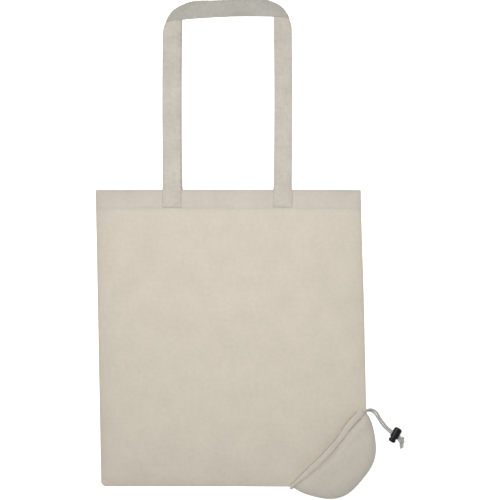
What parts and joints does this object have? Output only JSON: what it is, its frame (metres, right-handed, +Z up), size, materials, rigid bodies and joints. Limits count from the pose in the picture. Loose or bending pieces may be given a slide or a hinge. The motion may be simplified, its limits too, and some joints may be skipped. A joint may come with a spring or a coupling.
{
  "type": "tote bag",
  "caption": "Flat cotton tote bag with long handles and a drawstring stow pouch on one bottom corner, closed by a cord with a spring-loaded barrel lock.",
  "frame": {"origin": "middle of the footprint of the bag lying flat on its back, handles stretched out, on the surface it lies on", "axes": "+X to the right seen from above, +Y from the bag's bottom edge towards the handles, +Z up off the surface, out of the front face"},
  "size_m": [0.4199, 0.6786, 0.0139],
  "materials": {
    "natural_cotton": "plain-woven unbleached cotton",
    "cotton_strap": "folded and sewn unbleached cotton strap",
    "pouch_cotton": "plain-woven unbleached cotton",
    "cotton_cord": "round braided cotton cord",
    "black_plastic": "smooth moulded black plastic",
    "spring_steel": "drawn spring wire",
    "sewing_thread": "spun sewing thread"
  },
  "bodies": {
    "lower": {"back_panel_lower": "natural_cotton", "front_panel_lower": "natural_cotton", "lower_seam_allowance": "natural_cotton", "pouch_front": "pouch_cotton", "pouch_back": "pouch_cotton", "pouch_casing_front": "pouch_cotton", "pouch_casing_back": "pouch_cotton", "drawcord_held_loop": "cotton_cord", "drawcord_strand_front": "cotton_cord", "drawcord_strand_back": "cotton_cord", "drawcord_knot": "cotton_cord"},
    "upper": {"back_panel_upper": "natural_cotton", "front_panel_upper": "natural_cotton", "upper_seam_allowances": "natural_cotton", "front_hem": "natural_cotton", "back_hem": "natural_cotton", "front_handle_ends": "cotton_strap", "back_handle_ends": "cotton_strap", "front_hem_thread": "sewing_thread", "back_hem_thread": "sewing_thread", "front_handle_threads": "sewing_thread", "back_handle_threads": "sewing_thread"},
    "front_handle": {"front_handle_loop": "cotton_strap"},
    "back_handle": {"back_handle_loop": "cotton_strap"},
    "cord_lock": {"lock_barrel": "black_plastic", "lock_spring": "spring_steel"},
    "lock_button": {"lock_plunger": "black_plastic"}
  },
  "joints": [
    {"name": "body_fold", "type": "hinge", "parent": "lower", "child": "upper", "pos_m": [0, -0.12, 0.0126], "axis": [1, 0, 0], "range_deg": [0, 179]},
    {"name": "front_handle_swing", "type": "hinge", "parent": "upper", "child": "front_handle", "pos_m": [0, 0.0815, 0.0121], "axis": [-1, 0, 0], "range_deg": [-179, 0]},
    {"name": "back_handle_swing", "type": "hinge", "parent": "upper", "child": "back_handle", "pos_m": [0, 0.0815, -0.0003], "axis": [-1, 0, 0], "range_deg": [0, 179]},
    {"name": "lock_slide", "type": "hinge", "parent": "lower", "child": "cord_lock", "pos_m": [0.2473, -0.1978, 0.0045], "axis": [0, 0, 1], "range_deg": [-12, 0]},
    {"name": "button_press", "type": "slide", "parent": "cord_lock", "child": "lock_button", "axis": [0.506, 0.8625, 0], "range_m": [0, 0.0025], "stiffness_N_per_m": 400, "springref_m": -0.002, "deforming": ["lock_spring"]}
  ]
}
